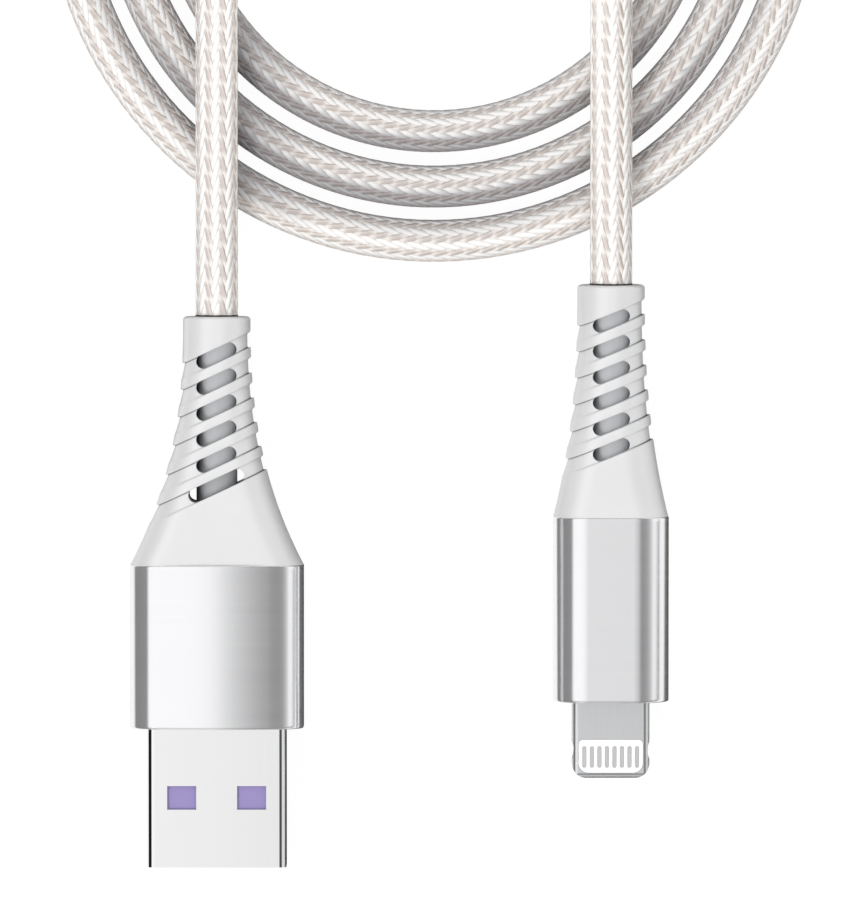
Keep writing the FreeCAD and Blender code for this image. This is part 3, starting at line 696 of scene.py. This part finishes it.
def reliefRings(sizes):
    base, length = sizes["base"], sizes["length"]
    slant, half = slantOf(sizes)
    shape = reliefShape
    side = shape["grooveSide"]
    rim = side[0][0]
    middles = [base + length - sizes["fromTail"] - index * sizes["pitch"] for index in range(sizes["slots"])]
    lowest, highest = min(middles) - rim * half, max(middles) + rim * half
    edge = shape["tailEdge"]
    top = base + length - edge
    corner = min(sizes["corner"], shape["tailThickness"] / 2 - shape["cornerSpare"])

    def ring(y, rake, inset, off=rim):
        points = []
        for step in wholeRound:
            x, z, at = 0.0, 0.0, y
            for again in range(shape["rounds"]):  # the rake moves a point to where the flare is another
                share = min(1, max(0, (at - base) / length))
                swell = (1 - share) ** shape["flare"]
                wide = shape["tailWidth"] + (sizes["baseWidth"] - shape["tailWidth"]) * swell
                thick = shape["tailThickness"] + (sizes["baseThickness"] - shape["tailThickness"]) * swell
                left = min(1, max(0, -shape["runOut"] * x / wide - shape["runOutFrom"]))
                deep = inset * (1 - left * (rim - off) / (2 * rim))
                x, z = sectionPoint(step, wide - 2 * deep, thick - 2 * deep, corner - deep)
                at = y + rake * x * slant
            points.append((x, at, z))
        return points

    rings = []
    for index in range(shape["flareRings"]):  # level at the base, raked at the first groove
        share = index / shape["flareRings"]
        rings.append(ring(base + (lowest - base) * share, share ** 2, 0))
    for middle in reversed(middles):
        for off, deep in side:
            rings.append(ring(middle - off * half, 1, deep * shape["grooveDepth"], -off))
        for off, deep in reversed(side[:-1]):
            rings.append(ring(middle + off * half, 1, deep * shape["grooveDepth"], off))
    tailShares = [(index + 1) / shape["tailRings"] for index in range(shape["tailRings"])]
    for share in tailShares:
        rings.append(ring(highest + (top - highest) * share, 1 - share, 0))
    for share in tailShares:  # the tail's rounded edge
        turn = math.pi / 2 * share
        rings.append(ring(top + edge * math.sin(turn), 0, edge * (1 - math.cos(turn))))
    for y, wide in ((base + length, shape["mouthWider"]), (base + length - shape["mouthDepth"], 1.0),
                    (base + 0.5 * length, 1.0), (base, 1.0)):
        bore = []
        for x, _, z in rings[0]:
            reach = math.hypot(x, z)
            bore.append((x / reach * shape["boreRadius"] * wide, y, z / reach * shape["boreRadius"] * wide))
        rings.append(bore)
    return rings


def grooveShade(sizes, at):
    # how dark the painted shade in the corner of a groove is here: its lower side on the right, its upper side
    # on the left
    slant, half = slantOf(sizes)
    shape = reliefShape
    below = sizes["base"] + sizes["length"] - sizes["fromTail"] - at.y + slant * at.x
    groove = min(sizes["slots"] - 1, max(0, round(below / sizes["pitch"])))
    off = (groove * sizes["pitch"] - below) / half
    corner = abs(off + math.copysign(shape["darkAt"], at.x))
    sideways = max(0, abs(at.x) / shape["darkReach"] - shape["darkFrom"])
    across = min(1, max(0, shape["darkFull"] - corner / shape["darkWidth"]))
    return min(1 if at.x > 0 else shape["darkLeft"], sideways) * across


def slotTree():
    # a row of obround cutters across the relief, each turned by the rake; the mesh handed in stays unused
    tree, nodes, given = newTree("slots", (
        ("Shape", "Geometry"), ("Count", "Int"), ("First", "Float"), ("Pitch", "Float"), ("Angle", "Float"),
        ("Length", "Float"), ("Width", "Float"), ("Depth", "Float"), ("Finish", "Material")), "Cutters")
    oblong = nodes.add("GeometryNodeCurvePrimitiveQuadrilateral",
                       sockets={"Width": given["Length"], "Height": given["Width"]})
    obround = nodes.add("GeometryNodeFilletCurve", {"mode": "POLY"}, {
        "Curve": oblong, "Radius": given["Width"] * reliefShape["slotFillet"],
        "Count": reliefShape["slotRounding"]})
    path = nodes.add("GeometryNodeCurvePrimitiveLine", sockets={
        "Start": joined(nodes, Z=given["Depth"] * -1.0), "End": joined(nodes, Z=given["Depth"])})
    prism = nodes.add("GeometryNodeCurveToMesh",
                      sockets={"Curve": path, "Profile Curve": obround, "Fill Caps": True})
    row = nodes.add("GeometryNodeMeshLine", sockets={
        "Count": given["Count"], "Start Location": joined(nodes, Y=given["First"]),
        "Offset": joined(nodes, Y=given["Pitch"] * -1.0)})
    placed = nodes.add("GeometryNodeInstanceOnPoints", sockets={
        "Points": row, "Instance": prism, "Rotation": joined(nodes, Z=given["Angle"])})
    real = nodes.add("GeometryNodeRealizeInstances", sockets={"Geometry": placed})
    done = nodes.add("GeometryNodeSetMaterial", sockets={"Geometry": real, "Material": given["Finish"]})
    nodes.add("NodeGroupOutput", sockets={0: done})
    return tree


cutterTree = slotTree()


def slotCutters(sizes, material):
    # all slots but the last are alike
    cutters = bmesh.new()
    first = sizes["base"] + sizes["length"] - sizes["fromTail"]
    last = sizes["slots"] - 1
    for count, start, long in ((last, first, sizes["slotLength"]),
                               (1, first - last * sizes["pitch"], sizes["lastSlotLength"])):
        cutters.from_mesh(bakeTree("slotRow", bpy.data.meshes.new("none"), cutterTree, {
            "Count": count, "First": start, "Pitch": sizes["pitch"], "Angle": math.radians(sizes["angle"]),
            "Length": long, "Width": reliefShape["slotWidth"], "Depth": reliefShape["slotDepth"],
            "Finish": material}))
    bmesh.ops.remove_doubles(cutters, verts=cutters.verts, dist=reliefShape["weld"])
    bmesh.ops.recalc_face_normals(cutters, faces=cutters.faces)
    mesh = bpy.data.meshes.new("slotCutters")
    cutters.to_mesh(mesh)
    cutters.free()
    return mesh


def reliefMesh(name, sizes, place, material, boreShadeMaterial):
    whole = ringMesh(name, reliefRings(sizes), Matrix.Identity(4))
    body, tool = (bpy.data.objects.new(name + "Work", mesh) for mesh in (whole, slotCutters(sizes, material)))
    for item in (body, tool):
        scene.collection.objects.link(item)
    cut = body.modifiers.new("slots", "BOOLEAN")
    cut.operation, cut.solver, cut.object = "DIFFERENCE", "EXACT", tool
    graph = bpy.context.evaluated_depsgraph_get()
    made = bpy.data.meshes.new_from_object(body.evaluated_get(graph), depsgraph=graph)
    for item in (body, tool):
        bpy.data.objects.remove(item)
    made.materials.clear()
    made.materials.append(material)
    made.materials.append(boreShadeMaterial)
    within = reliefShape["boreRadius"] * reliefShape["boreReach"]
    # the bore faces get the dark bore finish, a painted shade on the relief's own plastic
    for face in made.polygons:  # the bore, seen past the cord end through the slots, is in the dark
        face.material_index = int(math.hypot(face.center.x, face.center.z) < within)
    # the attribute contact carries the grooves' painted shade
    contact = made.attributes.new("contact", "FLOAT", "POINT")
    for vertex, item in zip(made.vertices, contact.data):
        item.value = grooveShade(sizes, vertex.co)
    made.transform(place)
    smoothShade(made, reliefShape["smooth"])
    made.name = name
    return made


collar = {"radius": 1.84, "inside": 1.60, "from": -0.3, "to": 0.17, "edge": 0.05, "sides": 48, "smooth": 50}


def collarMesh(name, tail, place):
    # a near-black ring of painted shade round the braid's end, which shows as a line where the cord leaves the
    # relief
    inside, radius, start, end, edge = (collar[key] for key in ("inside", "radius", "from", "to", "edge"))
    outline = ((inside, start), (radius, start), (radius, end - edge), (radius - edge, end), (inside, end))
    turns = [2 * math.pi * step / collar["sides"] for step in range(collar["sides"])]
    rings = [[(wide * math.sin(turn), tail + y, wide * math.cos(turn)) for turn in turns]
             for wide, y in outline]
    mesh = ringMesh(name, rings, place)
    smoothShade(mesh, collar["smooth"])
    return mesh


for plug, sizes in plugs.items():
    seat = plugPlace(sizes)
    sleeve = housingMesh(plug + "Housing", housing[plug], seat)
    newPiece(plug + "Housing", sleeve, finish["aluminium"], (plug + "_housing",))
    boot = reliefMesh(plug + "Relief", relief[plug], seat, finish["relief"], finish["bore"])
    newPiece(plug + "Relief", boot, None, (plug + "_strain_relief",))
    ring = collarMesh(plug + "CordCollar", sizes["tail"], seat)
    newPiece(plug + "CordCollar", ring, finish["collar"])


# the finish of each CAD node that stays
dressed = {
    "shellSteel": ["charger_plug_shell"],
    "tongue": ["charger_plug_tongue"],
    "mould": ["charger_inner_mould", "phone_inner_mould"],
    "chargerCore": ["charger_cord_core"],
    "phoneCore": ["phone_cord_core"],
    "tabSteel": ["phone_tab_frame"],
    "bed": ["phone_contact_bed"],
    "gold": ["charger_contact_%d" % n for n in range(1, 5)],
    "plated": ["phone_contact_%s_%d" % (side, n) for side in ("front", "back") for n in range(1, 9)],
}
for look, names in dressed.items():
    for name in names:
        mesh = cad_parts[name].data
        mesh.materials.clear()
        mesh.materials.append(finish[look])
print("nodes dressed")


studio = {
    "domeTop": 1.12, "domeLow": 0.3,
    "floorSize": 1.6, "floorBelow": 0.0001, "floorTone": 0.62, "floorBright": 1.05, "floorKeepsShadow": 0.08,
    "keyPower": 3.6, "keySize": 0.26, "keyFrom": (-0.42, -0.34, 0.84), "keyTowards": (0, 0.02, 0),
    "coilPower": 0.004, "coilSize": 0.004, "coilFrom": (0.002975, 0.06082, 0.020),
    # angle from straight above, left to right, and how bright the studio is there
    "walls": ((-90, 0.01), (-47, 0.01), (-39, 1.0), (-4, 0.99), (-1.4, 0.94), (0.9, 0.64), (7.2, 0.325),
              (13.4, 0.04), (20, 0.05), (34, 0.15), (48, 0.43), (60, 0.97), (74, 1.0), (90, 0.6)),
    # the same from the plugs' side to the coil's side: a share of the above
    "ends": ((-90, 1.2), (-60, 1.2), (-56, 0.3), (-23, 0.3), (-18, 1.0), (90, 1.0)),
    # painted reflection of the floor in metal, dark bands as painted shadow and bright bands as painted light:
    # place across in millimetres, and how bright the floor shows in metal there
    "paintedFloorBands": ((-50, 0.01), (-46, 0.01), (-35, 1.0), (-23.3, 1.0), (-22.9, 0.01), (4, 0.01), (5.5, 1.0),
                   (13.2, 1.0), (13.6, 0.01), (30, 0.01), (36, 1.0), (50, 1.0)),
    "cameraHeight": 0.9, "frameHeight": 0.07779, "cameraAt": (0.00242, 0.01080), "focusHeight": 0.004,
    "sensor": 36, "clipEnd": 10,
}


def rayIs(nodes, *kinds):
    rays = {value.socket.name: value for value in nodes.add("ShaderNodeLightPath", out=None)}
    total = rays[kinds[0]]
    for kind in kinds[1:]:
        total = total.calc("MAXIMUM", rays[kind])
    return total


def bands(nodes, share, stops):
    # brightness along a line of stops, given in the stops' own unit; share runs from the first to the last
    low, high = stops[0][0], stops[-1][0]
    return nodes.add("ShaderNodeValToRGB",
                     {"stops": [((at - low) / (high - low), bright) for at, bright in stops]}, {0: share})


def glow(nodes, kind, strength):
    return nodes.add(kind, sockets={"Color": (1, 1, 1, 1), "Strength": strength})


def either(nodes, share, first, second):
    return nodes.add("ShaderNodeMixShader", sockets={0: share, 1: first, 2: second})


def makeFloor():
    mesh = bpy.data.meshes.new("floor")
    shape = bmesh.new()
    bmesh.ops.create_grid(shape, x_segments=1, y_segments=1, size=studio["floorSize"] / 2)
    shape.to_mesh(mesh)
    shape.free()
    floor = bpy.data.objects.new("floor", mesh)
    floor.location = (0.0, 0.0, -studio["floorBelow"])
    scene.collection.objects.link(floor)
    material, nodes = newMaterial("floorPaper")
    tone = studio["floorTone"]
    paper = nodes.add("ShaderNodeBsdfDiffuse", sockets={"Color": (tone, tone, tone, 1)})
    white = glow(nodes, "ShaderNodeEmission", studio["floorBright"])
    across = parts(nodes, objectPlace(nodes))[0] * 10 + 0.5  # 0 to 1 over the bands' 100 mm
    # in metal the floor shows painted bands: dark ones as painted shadow, bright ones as painted light
    banded = glow(nodes, "ShaderNodeEmission", bands(nodes, across, studio["paintedFloorBands"]))
    seen = rayIs(nodes, "Is Camera Ray", "Is Transmission Ray") * (1 - studio["floorKeepsShadow"])
    lit = either(nodes, seen, paper, white)
    both = either(nodes, rayIs(nodes, "Is Glossy Ray"), lit, banded)
    nodes.add("ShaderNodeOutputMaterial", sockets={0: both})
    mesh.materials.append(material)


def makeWorld():
    world = bpy.data.worlds.new("studio")
    scene.world = world
    nodes = emptyNodes(world)
    sideways, endways, upwards = parts(nodes, nodes.add("ShaderNodeTexCoord", out=0))
    walls, ends = (bands(nodes, way.calc("ARCTAN2", upwards) / math.pi + 0.5, studio[key])
                   for way, key in ((sideways, "walls"), (endways, "ends")))
    mirrored = glow(nodes, "ShaderNodeBackground", walls * ends)
    soft = glow(nodes, "ShaderNodeBackground", upwards * upwards * studio["domeTop"] + studio["domeLow"])
    plain = glow(nodes, "ShaderNodeBackground", 1.0)
    lit = either(nodes, rayIs(nodes, "Is Glossy Ray"), soft, mirrored)
    both = either(nodes, rayIs(nodes, "Is Camera Ray"), lit, plain)
    nodes.add("ShaderNodeOutputWorld", sockets={0: both})


def makeLamp(name, kind, power, at, shape, target=None):
    data = bpy.data.lights.new(name, kind)
    data.energy = power
    for key, value in shape.items():
        setattr(data, key, value)
    lamp = bpy.data.objects.new(name, data)
    lamp.location = at
    if target:
        lamp.rotation_euler = (Vector(target) - Vector(at)).to_track_quat("-Z", "Y").to_euler()
    lamp.visible_camera = False
    lamp.visible_glossy = False
    scene.collection.objects.link(lamp)


def makeCamera():
    data = bpy.data.cameras.new("camera")
    away = studio["cameraHeight"]
    data.sensor_width = studio["sensor"]
    data.lens = studio["sensor"] * (away - studio["focusHeight"]) / studio["frameHeight"]
    data.clip_end = studio["clipEnd"]
    camera = bpy.data.objects.new("camera", data)
    camera.location = (*studio["cameraAt"], away)
    scene.collection.objects.link(camera)
    scene.camera = camera


makeFloor()
makeWorld()
makeLamp("keyLamp", "AREA", studio["keyPower"], studio["keyFrom"],
         {"shape": "SQUARE", "size": studio["keySize"]}, studio["keyTowards"])
makeLamp("coilLamp", "POINT", studio["coilPower"], studio["coilFrom"], {"shadow_soft_size": studio["coilSize"]})
makeCamera()
print("studio set")
